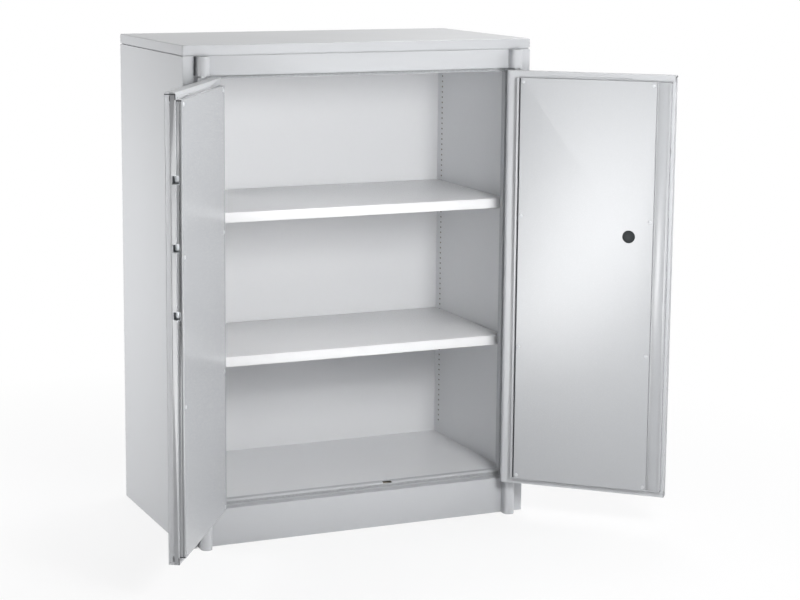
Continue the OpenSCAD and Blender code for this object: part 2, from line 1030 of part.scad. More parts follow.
module edge_bolt(z0, z1, lever_z) {
    color(steel)
        on_left() {
            translate([edge_a, deep(edge_b), z0])
                cylinder(d = edge_bolt_d, h = z1 - z0);
            door_block(edge_a, door_l - edge_seam_d - 0.1, edge_b - edge_seam_w / 4,
                       edge_b + edge_seam_w / 4, lever_z, lever_z + edge_lever_t);
        }
}

module edge_bolt_upper() {
    edge_bolt(door_z1 - edge_l, door_z1 + edge_proud, edge_lever_high);
}

module edge_bolt_lower() {
    edge_bolt(door_z0 - edge_proud, door_z0 + edge_l, edge_lever_low);
}

// Lock of the right door

// Plate on the board that carries the spindle
module lock_plate() {
    half_plate = 40;
    above_key = 30;
    color(steel)
        on_right()
            difference() {
                door_block(lock_a - half_plate, lock_a + half_plate, outer_t - sheet - fit,
                           outer_t + 0.5, lock_z - half_plate, key_z + above_key);
                door_bar(lock_a, lock_z, spindle_d / 2 + run, 0, door_t);
                door_bar(lock_a, key_z, key_plug_r + 0.5, 0, door_t);
            }
}

// Pin of the lock disc at an angle measured from the door's length
module crank_pin(angle, b0, b1) {
    door_bar(lock_a + crank_r * cos(angle), lock_z + crank_r * sin(angle), crank_pin_r, b0, b1);
}

module lock_disc() {
    color(steel)
        on_right() {
            door_bar(lock_a, lock_z, spindle_d / 2, -12, disc_b + eps);
            door_bar(lock_a, lock_z, disc_r, disc_b, disc_b + disc_t);
            crank_pin(135, arm_b, disc_b + eps);
            crank_pin(45, disc_b + disc_t - eps, rod_b + rod_t - 0.3);
            crank_pin(225, disc_b + disc_t - eps, rod_b + rod_t - 0.3);
        }
}

// T-shaped grip on the outside of the right door, with its round base
module turning_grip() {
    base_r = 24;
    base_t = 5;
    base_chamfer = 1.5;
    base_gap = 0.3;
    neck_r = 14;
    waist_r = 8.5;
    bar_r = 9.5;
    tip_r = 7.5;
    bar_out = 34;
    spindle_in = 12;
    color(black)
        on_right()
            translate([lock_a, deep(0), lock_z])
                rotate([90, 0, 0])
                    difference() {
                        union() {
                            translate([0, 0, base_gap])
                                cylinder(r = base_r, h = base_t - base_chamfer);
                            translate([0, 0, base_gap + base_t - base_chamfer])
                                cylinder(r1 = base_r, r2 = base_r - base_chamfer,
                                         h = base_chamfer);
                            translate([0, 0, base_t])
                                cylinder(r1 = neck_r, r2 = waist_r, h = bar_out - base_t);
                            for (s = [-1, 1])
                                translate([0, 0, bar_out])
                                    rotate([0, s * 90, 0]) {
                                        cylinder(r1 = bar_r, r2 = tip_r, h = grip_l / 2 - tip_r);
                                        translate([0, 0, grip_l / 2 - tip_r])
                                            sphere(r = tip_r);
                                    }
                        }
                        translate([0, 0, -eps])
                            cylinder(d = spindle_d, h = spindle_in + eps);
                    }
}

// Upright bar behind the edge cover with three flat bolts and the arm to the lock disc
module bolt_bar() {
    pin_a = lock_a + crank_r * cos(135);
    pin_z = lock_z + crank_r * sin(135);
    slot_r = crank_pin_r + crank_slack;
    arm_z0 = lock_z + spindle_d / 2 + 1;
    arm_z1 = lock_z + crank_r + slot_r + 5;
    color(steel)
        on_right()
            difference() {
                union() {
                    door_block(bolt_bar_a, bolt_bar_a + bolt_bar_w, arm_b, arm_b + bolt_t,
                               bolt_zs[0] - bolt_h / 2, bolt_zs[2] + bolt_h / 2);
                    for (z = bolt_zs)
                        door_block(bolt_bar_a, bolt_tip, arm_b, arm_b + bolt_t,
                                   z - bolt_h / 2, z + bolt_h / 2);
                    door_block(pin_a - slot_r - 5, bolt_bar_a + eps, arm_b, arm_b + arm_t,
                               arm_z0, arm_z1);
                }
                door_block(pin_a - slot_r, pin_a + slot_r, arm_b - eps, arm_b + bolt_t + eps,
                           pin_z - slot_r, lock_z + crank_r + slot_r);
            }
}

// Flat locking rod with a cross slot for its crank pin
module rod(a, z0, z1, angle) {
    slot_r = crank_pin_r + crank_slack;
    pin_a = lock_a + crank_r * cos(angle);
    pin_z = lock_z + crank_r * sin(angle);
    reach_a = lock_a + crank_r * sign(cos(angle));
    color(steel)
        on_right()
            difference() {
                door_block(a - rod_w / 2, a + rod_w / 2, rod_b, rod_b + rod_t, z0, z1);
                door_block(min(pin_a, reach_a) - slot_r, max(pin_a, reach_a) + slot_r,
                           rod_b - eps, rod_b + rod_t + eps, pin_z - slot_r, pin_z + slot_r);
            }
}

module upper_rod() {
    rod(upper_rod_a, lock_z - crank_r * sin(45) - rod_tail, inner_z1 - 1, 225);
}

module lower_rod() {
    rod(lower_rod_a, inner_z0 + 1, lock_z + crank_r * sin(45) + rod_tail, 45);
}

module key_cylinder() {
    color(steel)
        on_right()
            difference() {
                union() {
                    door_bar(lock_a, key_z, 16, -4, 0);
                    door_bar(lock_a, key_z, key_body_r, -4, outer_t - sheet - fit);
                }
                door_bar(lock_a, key_z, key_plug_r + run, -4 - eps, outer_t);
            }
}

module key_plug() {
    cam_b = outer_t + 2;
    cam_t = 2;
    cam_w = 8;
    cam_l = 20;
    slot_w = 1.8;
    slot_h = 9;
    slot_l = 14;
    color(brass)
        on_right()
            difference() {
                union() {
                    door_bar(lock_a, key_z, key_plug_r, -3.5, cam_b + cam_t);
                    door_block(lock_a - cam_w / 2, lock_a + cam_w / 2, cam_b, cam_b + cam_t,
                               key_z, key_z + cam_l);
                }
                door_block(lock_a - slot_w / 2, lock_a + slot_w / 2, -4, slot_l,
                           key_z - slot_h / 2, key_z + slot_h / 2);
            }
}

// Black plastic cap over the end of the spindle
module spindle_cap() {
    r = cap_d / 2;
    crown = 3.2;
    dome_r = 3 * r;
    neck_r = r - 1.6;
    neck_l = 1.3;
    color(black)
        on_right()
            translate([lock_a, deep(door_t), lock_z])
                rotate([-90, 0, 0]) {
                    translate([0, 0, -neck_l])
                        cylinder(r = neck_r, h = neck_l + 0.5);
                    rotate_extrude()
                        intersection() {
                            square([r, crown]);
                            translate([0, crown - dome_r])
                                circle(r = dome_r, $fn = 240);
                        }
                }
}

top_plate();
top_filler_board();
body_top_sheet();
side_panel_left();
side_panel_right();
back_panel();
bottom_sheet();
header();
plinth();
lintel();
sill();
jamb_left();
jamb_right();
lining_left();
lining_right();
lining_back();
lining_ceiling();
cabinet_floor();
board_left();
board_right();
board_back();
board_top();
board_floor();
post_upper_left();
post_upper_right();
post_lower_left();
post_lower_right();
hinge_pins();
thrust_washers();
frame_seal();
upper_shelf();
lower_shelf();
shelf_clips();
left_shell();
left_column();
left_bushes();
left_board();
left_frame();
left_panel();
left_screws();
bolt_keeps();
edge_bolt_upper();
edge_bolt_lower();
right_shell();
right_column();
right_bushes();
right_board();
right_frame();
right_panel();
right_screws();
edge_cover();
lock_plate();
lock_disc();
turning_grip();
bolt_bar();
upper_rod();
lower_rod();
key_cylinder();
key_plug();
spindle_cap();
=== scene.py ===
"""Finish and setting of a two-door fireproof cabinet: paint, boards, hardware and studio."""

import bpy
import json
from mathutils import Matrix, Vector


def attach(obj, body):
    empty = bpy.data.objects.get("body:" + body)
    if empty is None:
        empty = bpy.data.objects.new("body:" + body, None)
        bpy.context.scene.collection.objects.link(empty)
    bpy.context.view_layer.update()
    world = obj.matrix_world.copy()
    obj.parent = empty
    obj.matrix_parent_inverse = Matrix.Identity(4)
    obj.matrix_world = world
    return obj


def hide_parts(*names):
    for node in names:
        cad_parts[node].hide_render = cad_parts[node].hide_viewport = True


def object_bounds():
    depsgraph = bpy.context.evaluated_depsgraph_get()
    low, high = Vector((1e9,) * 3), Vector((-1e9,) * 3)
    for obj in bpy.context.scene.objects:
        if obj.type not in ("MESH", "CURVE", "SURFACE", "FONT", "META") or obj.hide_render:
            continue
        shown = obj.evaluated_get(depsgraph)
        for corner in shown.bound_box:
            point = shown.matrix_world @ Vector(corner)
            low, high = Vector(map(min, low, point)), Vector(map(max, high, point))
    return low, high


bl_info = {
    "name": "Fireproof Cabinet",
    "version": (1, 0, 0),
    "blender": (4, 5, 0),
    "location": "3D View > Sidebar > Cabinet",
    "description": "Paint, fire boards, lock hardware and a pale studio for a fireproof cabinet",
    "category": "Object",
}

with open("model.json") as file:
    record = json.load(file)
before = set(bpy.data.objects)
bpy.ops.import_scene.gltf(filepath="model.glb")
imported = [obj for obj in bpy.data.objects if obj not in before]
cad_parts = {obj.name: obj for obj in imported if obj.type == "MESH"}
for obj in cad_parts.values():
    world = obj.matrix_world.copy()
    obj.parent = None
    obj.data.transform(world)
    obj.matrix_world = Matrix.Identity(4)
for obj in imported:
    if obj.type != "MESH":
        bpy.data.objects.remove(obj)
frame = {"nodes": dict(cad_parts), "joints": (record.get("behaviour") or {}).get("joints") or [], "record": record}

import json
import math

import bmesh
import bpy
from bpy.props import FloatProperty, FloatVectorProperty, IntProperty, PointerProperty
from mathutils import Matrix, Vector

cad_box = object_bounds()
SLOT_OF = {part["node"]: part["material_slot"] for part in frame["record"]["subparts"]}
BODY_OF = {node: body for body, nodes in frame["record"]["behaviour"]["bodies"].items()
           for node in nodes}
JOINTS = {joint["name"]: joint for joint in frame["joints"]}
MM = 0.001
SHARP = math.radians(40)  # a fold past this angle is an edge of the sheet
WELD = 0.002 * MM  # corners that lie closer than this are one


class CabinetFinish(bpy.types.PropertyGroup):
    """Paint, board and hardware of the cabinet"""

    body_colour: FloatVectorProperty(
        name="Body paint", description="Powder coat of body and door shells", subtype="COLOR",
        size=3, min=0.0, max=1.0, default=(0.490, 0.500, 0.516))
    lining_colour: FloatVectorProperty(
        name="Lining paint", description="Coat of the compartment and the shelves", subtype="COLOR",
        size=3, min=0.0, max=1.0, default=(0.760, 0.767, 0.780))
    door_colour: FloatVectorProperty(
        name="Door lining paint", description="Glossier coat of the inner door panels",
        subtype="COLOR", size=3, min=0.0, max=1.0, default=(0.400, 0.409, 0.423))
    shelf_colour: FloatVectorProperty(
        name="Shelf paint", description="Whiter coat of the shelves", subtype="COLOR",
        size=3, min=0.0, max=1.0, default=(0.820, 0.823, 0.830))
    board_colour: FloatVectorProperty(
        name="Fire board", description="Paper face of the fire boards", subtype="COLOR",
        size=3, min=0.0, max=1.0, default=(0.300, 0.270, 0.230))
    body_roughness: FloatProperty(
        name="Body roughness", description="Roughness of the body's powder coat",
        min=0.05, max=1.0, default=0.36)
    lining_roughness: FloatProperty(
        name="Lining roughness", description="Roughness of the compartment and the shelves",
        min=0.05, max=1.0, default=0.28)
    door_roughness: FloatProperty(
        name="Door roughness", description="Roughness of the inner door panels",
        min=0.05, max=1.0, default=0.27)
    peel: FloatProperty(
        name="Orange peel", description="Width of the waves in the powder coat", subtype="DISTANCE",
        unit="LENGTH", min=0.0005, max=0.01, default=0.0024)
    edge_radius: FloatProperty(
        name="Edge radius", description="Radius of the eased sheet edges", subtype="DISTANCE",
        unit="LENGTH", min=0.0001, max=0.002, default=0.0004)
    screw_sides: IntProperty(
        name="Screw sides", description="Steps round a panel screw", min=12, max=64, default=32)


class CabinetStudio(bpy.types.PropertyGroup):
    """Floor, light and camera"""

    camera_place: FloatVectorProperty(
        name="Camera place", description="Where the camera stands", subtype="TRANSLATION",
        unit="LENGTH", size=3, default=(-1.904, -4.691, 1.490))
    camera_turn: FloatProperty(
        name="Camera turn", description="Turn to the right of straight ahead", subtype="ANGLE",
        unit="ROTATION", default=math.radians(22.94))
    camera_tilt: FloatProperty(
        name="Camera tilt", description="Tilt below the horizon", subtype="ANGLE",
        unit="ROTATION", default=math.radians(9.36))
    camera_roll: FloatProperty(
        name="Camera roll", description="Roll about the line of sight", subtype="ANGLE",
        unit="ROTATION", default=math.radians(0.3))
    lens: FloatProperty(
        name="Lens", description="Focal length in millimetres, on the sensor width below",
        default=91.16)
    sensor_width: FloatProperty(
        name="Sensor width", description="Width of the camera's sensor in millimetres",
        default=36.0)
    shift: FloatVectorProperty(
        name="Lens shift", description="Shift of the lens as shares of the image width",
        size=2, default=(0.06, -0.06))
    sky: FloatProperty(
        name="Sky", description="Strength of the even light from all round", min=0.0, default=0.15)
    upper_power: FloatProperty(
        name="Upper light", min=0.0, default=10.0,
        description="Power of the softbox high in front, which lights the shelves")
    near_power: FloatProperty(
        name="Near light", min=0.0, default=6.4,
        description="Power of the small lamp close in front of the opening")
    front_power: FloatProperty(
        name="Front light", min=0.0, default=22.5,
        description="Power of the lamp further in front, which lights the compartment")
    right_power: FloatProperty(
        name="Right light", min=0.0, default=48.0,
        description="Power of the high softbox on the right, which lights the left door")
    side_power: FloatProperty(
        name="Side light", min=0.0, default=14.0,
        description="Power of the softbox beside the left end")
    back_power: FloatProperty(
        name="Back light", min=0.0, default=40.0,
        description="Power of the softbox over the right rear corner")
    rear_power: FloatProperty(
        name="Rear light", min=0.0, default=58.0,
        description="Power of the softbox behind the cabinet")
    end_power: FloatProperty(
        name="End light", min=0.0, default=36.0,
        description="Power of the softbox beside the right end")
    card_power: FloatProperty(
        name="Panel card", min=0.0, default=26.0,
        description="Power of the card that the right door's panel mirrors")
    low_card_power: FloatProperty(
        name="Low card", min=0.0, default=8.0,
        description="Power of the card near the floor that the right door mirrors")
    foot_card_power: FloatProperty(
        name="Foot card", min=0.0, default=5.4,
        description="Power of the card that the foot of the right door mirrors")


class Recipe:
    """A node material under construction, with its patterns in object space"""

    def __init__(self, name):
        self.material = bpy.data.materials.new(name)
        self.material.use_nodes = True
        self.tree = self.material.node_tree
        self.shader = self.tree.nodes["Principled BSDF"]
        self.place = self.tree.nodes.new("ShaderNodeTexCoord").outputs["Object"]

    def link(self, out, socket):
        self.tree.links.new(out, socket)

    def noise(self, width, detail=2.0, stretch=(1.0, 1.0, 1.0)):
        """Noise whose features are about as wide as width, in metres"""
        mapping = self.tree.nodes.new("ShaderNodeMapping")
        mapping.inputs["Scale"].default_value = stretch
        self.link(self.place, mapping.inputs["Vector"])
        node = self.tree.nodes.new("ShaderNodeTexNoise")
        node.inputs["Scale"].default_value = 1.0 / width
        node.inputs["Detail"].default_value = detail
        self.link(mapping.outputs["Vector"], node.inputs["Vector"])
        return node.outputs["Fac"]

    def cells(self, width):
        """Cells about as wide as width, in metres, each with its own tone"""
        node = self.tree.nodes.new("ShaderNodeTexVoronoi")
        node.inputs["Scale"].default_value = 1.0 / width
        self.link(self.place, node.inputs["Vector"])
        tone = self.tree.nodes.new("ShaderNodeSeparateColor")
        self.link(node.outputs["Color"], tone.inputs["Color"])
        return tone.outputs["Red"]

    def span(self, factor, low, high, start=0.3, stop=0.7):
        """Maps a pattern to a value between low and high"""
        node = self.tree.nodes.new("ShaderNodeMapRange")
        node.inputs["From Min"].default_value = start
        node.inputs["From Max"].default_value = stop
        node.inputs["To Min"].default_value = low
        node.inputs["To Max"].default_value = high
        self.link(factor, node.inputs["Value"])
        return node.outputs["Result"]

    def mix(self, factor, colour_a, colour_b):
        """Mixes two colours by a pattern; either colour may be another node's output"""
        node = self.tree.nodes.new("ShaderNodeMix")
        node.data_type = "RGBA"
        self.link(factor, node.inputs["Factor"])
        for socket, colour in ((node.inputs[6], colour_a), (node.inputs[7], colour_b)):
            if isinstance(colour, bpy.types.NodeSocket):
                self.link(colour, socket)
            else:
                socket.default_value = (*colour, 1.0)
        return node.outputs[2]

    def bump(self, height, depth, strength=1.0, under=None):
        """Bump of a given depth in metres, on top of another bump"""
        node = self.tree.nodes.new("ShaderNodeBump")
        node.inputs["Strength"].default_value = strength
        node.inputs["Distance"].default_value = depth
        self.link(height, node.inputs["Height"])
        if under is not None:
            self.link(under, node.inputs["Normal"])
        return node.outputs["Normal"]

    def finish(self, colour=None, roughness=None, normal=None, **constants):
        """Links the patterns and sets what is even all over"""
        for name, out in (("Base Color", colour), ("Roughness", roughness), ("Normal", normal)):
            if out is not None:
                self.link(out, self.shader.inputs[name])
        for name, value in constants.items():
            self.shader.inputs[name.replace("_", " ")].default_value = value
        return self.material


def shade(colour, share):
    """A colour made darker or lighter by a share"""
    return tuple(min(1.0, part * share) for part in colour)


def powder_coat(name, colour, roughness, peel):
    """Powder coat: fine orange peel, faint clouds and a trace of dust"""
    recipe = Recipe(name)
    clouds = recipe.noise(width=0.45, detail=2.0)
    dust = recipe.noise(width=0.012, detail=4.0)
    grain = recipe.noise(width=0.0011, detail=1.0)
    cloudy = recipe.span(clouds, 0.0, 1.0, start=0.1, stop=0.9)
    dusty = recipe.span(dust, 0.0, 0.22, start=0.55, stop=0.8)
    grainy = recipe.span(grain, 0.0, 0.20, start=0.55, stop=0.8)
    tone = recipe.mix(cloudy, shade(colour, 0.98), shade(colour, 1.015))
    tone = recipe.mix(dusty, tone, shade(colour, 0.95))
    tone = recipe.mix(grainy, tone, shade(colour, 1.06))
    rough = recipe.span(grain, roughness - 0.008, roughness + 0.008, start=0.2, stop=0.8)
    waves = recipe.bump(recipe.noise(width=peel, detail=1.0), depth=0.000012, strength=0.6)
    normal = recipe.bump(grain, depth=0.000006, strength=0.5, under=waves)
    return recipe.finish(tone, rough, normal, IOR=1.5)


def fire_board(name, colour):
    """Paper-faced board with short fibres and flecks"""
    recipe = Recipe(name)
    fibres = recipe.noise(width=0.003, detail=5.0, stretch=(1.0, 1.0, 0.25))
    flecks = recipe.noise(width=0.0016, detail=1.0)
    flecked = recipe.span(flecks, 0.0, 0.5, start=0.62, stop=0.72)
    tone = recipe.mix(recipe.span(fibres, 0.0, 1.0), shade(colour, 0.9), shade(colour, 1.06))
    tone = recipe.mix(flecked, tone, shade(colour, 0.6))
    rough = recipe.span(fibres, 0.86, 0.95)
    return recipe.finish(tone, rough, recipe.bump(fibres, depth=0.0002, strength=0.5), IOR=1.4)


def zinc_plate(name, colour, roughness=0.34):
    """Zinc-plated steel with faint spangles and rolling lines"""
    recipe = Recipe(name)
    spangle = recipe.span(recipe.cells(width=0.006), 0.0, 1.0, start=0.0, stop=1.0)
    lines = recipe.noise(width=0.0012, detail=3.0, stretch=(1.0, 1.0, 0.06))
    tone = recipe.mix(spangle, shade(colour, 0.9), shade(colour, 1.1))
    rough = recipe.span(lines, roughness - 0.08, roughness + 0.1)
    normal = recipe.bump(lines, depth=0.00003, strength=0.4)
    return recipe.finish(tone, rough, normal, Metallic=1.0)


def turned_metal(name, colour, roughness):
    """Turned metal, such as chrome and brass, with a fine surface"""
    recipe = Recipe(name)
    haze = recipe.noise(width=0.004, detail=4.0)
    grain = recipe.noise(width=0.0006, detail=1.0)
    tone = recipe.mix(recipe.span(haze, 0.0, 1.0), shade(colour, 0.93), shade(colour, 1.04))
    rough = recipe.span(haze, roughness * 0.8, roughness * 1.3)
    normal = recipe.bump(grain, depth=0.00001, strength=0.3)
    return recipe.finish(tone, rough, normal, Metallic=1.0)


def dull_rubber(name, colour):
    """Dull rubber, or the near-black fill that paints the shade in the door gaps, with a dusty skin"""
    recipe = Recipe(name)
    dust = recipe.noise(width=0.005, detail=4.0)
    tone = recipe.mix(recipe.span(dust, 0.0, 1.0), shade(colour, 0.85), shade(colour, 1.1))
    rough = recipe.span(dust, 0.68, 0.82)
    return recipe.finish(tone, rough, recipe.bump(dust, depth=0.0001, strength=0.3), IOR=1.45)


def moulded_plastic(name, colour):
    """Black moulded plastic with a fine spark-eroded grain"""
    recipe = Recipe(name)
    grain = recipe.noise(width=0.0007, detail=2.0)
    wear = recipe.noise(width=0.012, detail=3.0)
    tone = recipe.mix(recipe.span(wear, 0.0, 1.0), shade(colour, 0.85), shade(colour, 1.25))
    rough = recipe.span(wear, 0.42, 0.54)
    normal = recipe.bump(grain, depth=0.00006, strength=0.5)
    return recipe.finish(tone, rough, normal, IOR=1.49, Specular_IOR_Level=0.3)


def slot_materials(finish):
    """The cabinet's materials, by the record's slot names and three names of the scene's own"""
    body, lining, door = finish.body_colour[:], finish.lining_colour[:], finish.door_colour[:]
    shelf, inner_rough, peel = finish.shelf_colour[:], finish.lining_roughness, finish.peel
    return {
        "body_paint": powder_coat("Body powder coat", body, finish.body_roughness, peel),
        "lining_paint": powder_coat("Lining powder coat", lining, inner_rough, peel),
        "shelf_paint": powder_coat("Shelf powder coat", shelf, inner_rough, peel),
        "door_lining_paint": powder_coat("Door lining coat", door, finish.door_roughness, peel),
        "board": fire_board("Fire board paper", finish.board_colour[:]),
        "zinc_steel": zinc_plate("Zinc-plated steel", (0.60, 0.61, 0.62)),
        "keep_steel": zinc_plate("Keep steel", (0.26, 0.27, 0.28), 0.50),
        "screw_steel": powder_coat("Screw coat", shade(door, 1.35), 0.30, 0.5 * peel),
        "cylinder_chrome": turned_metal("Cylinder chrome", (0.72, 0.73, 0.74), 0.12),
        "brass": turned_metal("Lock brass", (0.72, 0.52, 0.24), 0.26),
        "seal": dull_rubber("Seal rubber", (0.36, 0.37, 0.38)),
        # painted shade: a near-black fill that stands for the shade deep in the door gaps
        "painted_gap_shade": dull_rubber("Painted gap shade", (0.022, 0.023, 0.025)),
        "black_plastic": moulded_plastic("Black moulded plastic", (0.016, 0.019, 0.021)),
    }


MATERIALS = {}
OWN_FINISH = {  # nodes whose finish is the scene's own, and not their slot's
    "upper_shelf": "shelf_paint", "lower_shelf": "shelf_paint", "bolt_keeps": "keep_steel"}


def named_material(name):
    """One of the cabinet's materials; all are made when the first is asked for"""
    if not MATERIALS:
        MATERIALS.update(slot_materials(bpy.context.scene.cabinet_finish))
    return MATERIALS[name]


def material_of(node):
    """The material of a node's slot, or the scene's own for that node"""
    return named_material(OWN_FINISH.get(node, SLOT_OF[node]))


def coat(node):
    """Gives a CAD piece its material"""
    piece = frame["nodes"][node]
    if not piece.material_slots:
        piece.data.materials.append(None)
    for slot in piece.material_slots:
        slot.material = material_of(node)


def riding_piece(name, shape, body, material):
    """Makes a finished shape a piece that moves with a body"""
    mesh = bpy.data.meshes.new(name)
    shape.to_mesh(mesh)
    shape.free()
    mesh.materials.append(material)
    mesh.set_sharp_from_angle(angle=SHARP)
    piece = bpy.data.objects.new(name, mesh)
    bpy.context.scene.collection.objects.link(piece)
    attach(piece, body)
    return piece


def new_piece(name, shape, node):
    """Makes a finished shape the visible piece of a CAD node, with its body and the material of its slot"""
    piece = riding_piece(name, shape, BODY_OF[node], material_of(node))
    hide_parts(node)
    return piece


def merged_copy(node):
    """A copy of a CAD mesh with its loose triangles joined and its flat faces whole"""
    shape = bmesh.new()
    shape.from_mesh(frame["nodes"][node].data)
    flat = math.radians(0.4)
    bmesh.ops.remove_doubles(shape, verts=shape.verts, dist=WELD)
    bmesh.ops.dissolve_limit(shape, angle_limit=flat, verts=shape.verts, edges=shape.edges)
    return shape


def is_turned(edge):
    """True between two facets of a round face"""
    return edge.is_manifold and math.radians(1) < edge.calc_face_angle() < math.radians(30)


def ease_edges(node):
    """Replaces a sheet piece by one with rounded outer edges, which catch the light"""
    radius = bpy.context.scene.cabinet_finish.edge_radius
    shortest = 10 * radius
    shape = merged_copy(node)
    for face in shape.faces:
        face.smooth = any(is_turned(edge) for edge in face.edges)
    sharp = [edge for edge in shape.edges
             if edge.is_manifold and edge.is_convex and edge.calc_face_angle() > SHARP
             and edge.calc_length() > shortest]
    eased = bmesh.ops.bevel(
        shape, geom=sharp, offset=radius, offset_type="OFFSET", segments=2, profile=0.5,
        affect="EDGES", clamp_overlap=False, material=-1)
    for face in eased["faces"]:
        face.smooth = True
    return new_piece(node + "_eased", shape, node)


def nodes_of(body, slot):
    """Names of the CAD nodes of a body that take a slot's finish"""
    return [node for node, node_slot in SLOT_OF.items()
            if node_slot == slot and BODY_OF[node] == body]


class CABINET_OT_body(bpy.types.Operator):
    """Coat the outer steel of the body and the fixed ends of the hinge columns"""

    bl_idname = "cabinet.body"
    bl_label = "Body"

    def execute(self, context):
        for node in nodes_of("carcass", "body_paint"):
            coat(node)
        for node in ("side_panel_left", "side_panel_right", "header", "plinth", "lintel", "sill",
                     "post_upper_left", "post_upper_right", "post_lower_left", "post_lower_right"):
            ease_edges(node)
        return {"FINISHED"}


class CABINET_OT_compartment(bpy.types.Operator):
    """Coat the lining and the shelves"""

    bl_idname = "cabinet.compartment"
    bl_label = "Compartment"

    def execute(self, context):
        for node in nodes_of("carcass", "lining_paint"):
            coat(node)
        for node in ("upper_shelf", "lower_shelf"):
            ease_edges(node)
        return {"FINISHED"}


class CABINET_OT_doors(bpy.types.Operator):
    """Coat both doors: outer layer, hinge column, inner frame and inner panel"""

    bl_idname = "cabinet.doors"
    bl_label = "Doors"

    def execute(self, context):
        for body in ("left_door", "right_door"):
            for slot in ("body_paint", "door_lining_paint"):
                for node in nodes_of(body, slot):
                    coat(node)
        for node in ("left_column", "right_column", "left_shell", "right_shell", "left_frame",
                     "right_frame", "left_panel", "right_panel", "edge_cover"):
            ease_edges(node)
        return {"FINISHED"}


class CABINET_OT_fire_boards(bpy.types.Operator):
    """Face the fire boards in walls and doors with paper"""

    bl_idname = "cabinet.fire_boards"
    bl_label = "Fire boards"

    def execute(self, context):
        for body in ("carcass", "left_door", "right_door"):
            for node in nodes_of(body, "board"):
                coat(node)
        return {"FINISHED"}


class CABINET_OT_hardware(bpy.types.Operator):
    """Finish pins, bushes, washers, clips, bolts, rods, lock and seal"""

    bl_idname = "cabinet.hardware"
    bl_label = "Hardware"

    def execute(self, context):
        elsewhere = {"body_paint", "lining_paint", "door_lining_paint", "board", "screw_steel"}
        for node, slot in SLOT_OF.items():
            if slot not in elsewhere:
                coat(node)
        return {"FINISHED"}


def door_normal(side):
    """Direction from a door's outer face to its inner face at rest"""
    low, high = JOINTS[side + "_door_hinge"]["range_deg"]
    opened = math.radians(high if side == "left" else -low)
    sign = 1 if side == "left" else -1
    return Vector((sign * math.sin(opened), math.cos(opened), 0.0))


def door_span(node, along, across):
    """Lowest and highest place of a door piece along the door, across it and upwards"""
    corners = [vert.co for vert in frame["nodes"][node].data.vertices]
    rows = ([corner.dot(along) for corner in corners], [corner.dot(across) for corner in corners],
            [corner.z for corner in corners])
    return [(min(row), max(row)) for row in rows]


def band(low, high, bottom, top):
    """Outline of an upright rectangle, across the door and upwards"""
    return [(low, bottom), (high, bottom), (high, top), (low, top)]


def joint_fill(shape, along, across, start, outline, depth):
    """Adds a near-black fill of a joint, which paints the joint's shade: an outline across and upwards at a place
    along, sunk to a depth
    """
    verts = [shape.verts.new(along * start + across * b + Vector((0.0, 0.0, z)))
             for b, z in outline]
    face = shape.faces.new(verts)
    sunk = bmesh.ops.extrude_face_region(shape, geom=[face])
    moved = [part for part in sunk["geom"] if isinstance(part, bmesh.types.BMVert)]
    bmesh.ops.translate(shape, verts=moved, vec=-depth * along)


def edge_joints(shape, side, along, across):
    """Adds dark fills that paint the shade in the joints at both ends of a door's free edge, in the shell and then
    in the frame
    """
    wide, proud, depth = 2.2 * MM, 0.12 * MM, 0.7 * MM
    below_top, above_foot, rim = 3 * MM, 0.6 * MM, 0.6 * MM  # from the shell's ends and its face
    lap, lip, inset = 0.2 * MM, 1.5 * MM, 0.4 * MM  # from the seam, the inner face and the ends
    ledge = 0.1 * MM  # what the seam takes of the frame
    (_, shell_edge), (outside, _), (foot, top) = door_span(side + "_shell", along, across)
    (_, pan_edge), (seam, inside), (pan_foot, pan_top) = door_span(side + "_frame", along, across)
    outside, seam = outside + rim, seam + ledge
    top, foot = top - below_top, foot + above_foot
    upper = [(outside, top - wide), (seam - wide, top - wide), (seam - wide, pan_top),
             (seam, pan_top), (seam, top), (outside, top)]
    lower = band(seam - wide, seam, foot, pan_foot)
    for outline in (upper, lower):
        joint_fill(shape, along, across, shell_edge + proud, outline, depth)
    for z in (pan_top - inset - wide, pan_foot + inset):
        outline = band(seam + lap, inside - lip, z, z + wide)
        joint_fill(shape, along, across, pan_edge + proud, outline, depth)


def panel_strip(shape, side, along, across):
    """Adds the dark strip that fills the gap on the hinge side of a door's inner panel, as painted shade of the
    gap
    """
    strip, clear, end_gap = 3.2 * MM, 0.2 * MM, MM
    (start, _), (floor, _), _ = door_span(side + "_panel", along, across)
    pan_foot, pan_top = door_span(side + "_frame", along, across)[2]
    outline = band(floor, floor + strip, pan_foot + end_gap, pan_top - end_gap)
    joint_fill(shape, along, across, start - clear, outline, strip)


class CABINET_OT_door_joints(bpy.types.Operator):
    """Fill the joints at the ends of the doors' free edges and beside the inner panels with near-black strips of
    painted shade
    """

    bl_idname = "cabinet.door_joints"
    bl_label = "Door joints"

    def execute(self, context):
        for side, sign in (("left", 1), ("right", -1)):
            across = door_normal(side)
            along = sign * across.cross(Vector((0.0, 0.0, 1.0)))
            shape = bmesh.new()
            edge_joints(shape, side, along, across)
            panel_strip(shape, side, along, across)
            bmesh.ops.recalc_face_normals(shape, faces=shape.faces)
            # the near-black fills paint the shade in the gaps
            riding_piece(side + "_door_joints", shape, side + "_door",
                         named_material("painted_gap_shade"))
        return {"FINISHED"}


def solids_of(node):
    """Corner lists of a node's separate solids, in the order of the mesh on each run"""
    shape = merged_copy(node)
    solids, seen = [], set()
    for first in shape.verts:
        reached = [] if first in seen else [first]
        seen.add(first)
        for vert in reached:
            for beside in (edge.other_vert(vert) for edge in vert.link_edges):
                if beside not in seen:
                    seen.add(beside)
                    reached.append(beside)
        if reached:
            solids.append([vert.co.copy() for vert in reached])
    shape.free()
    return solids


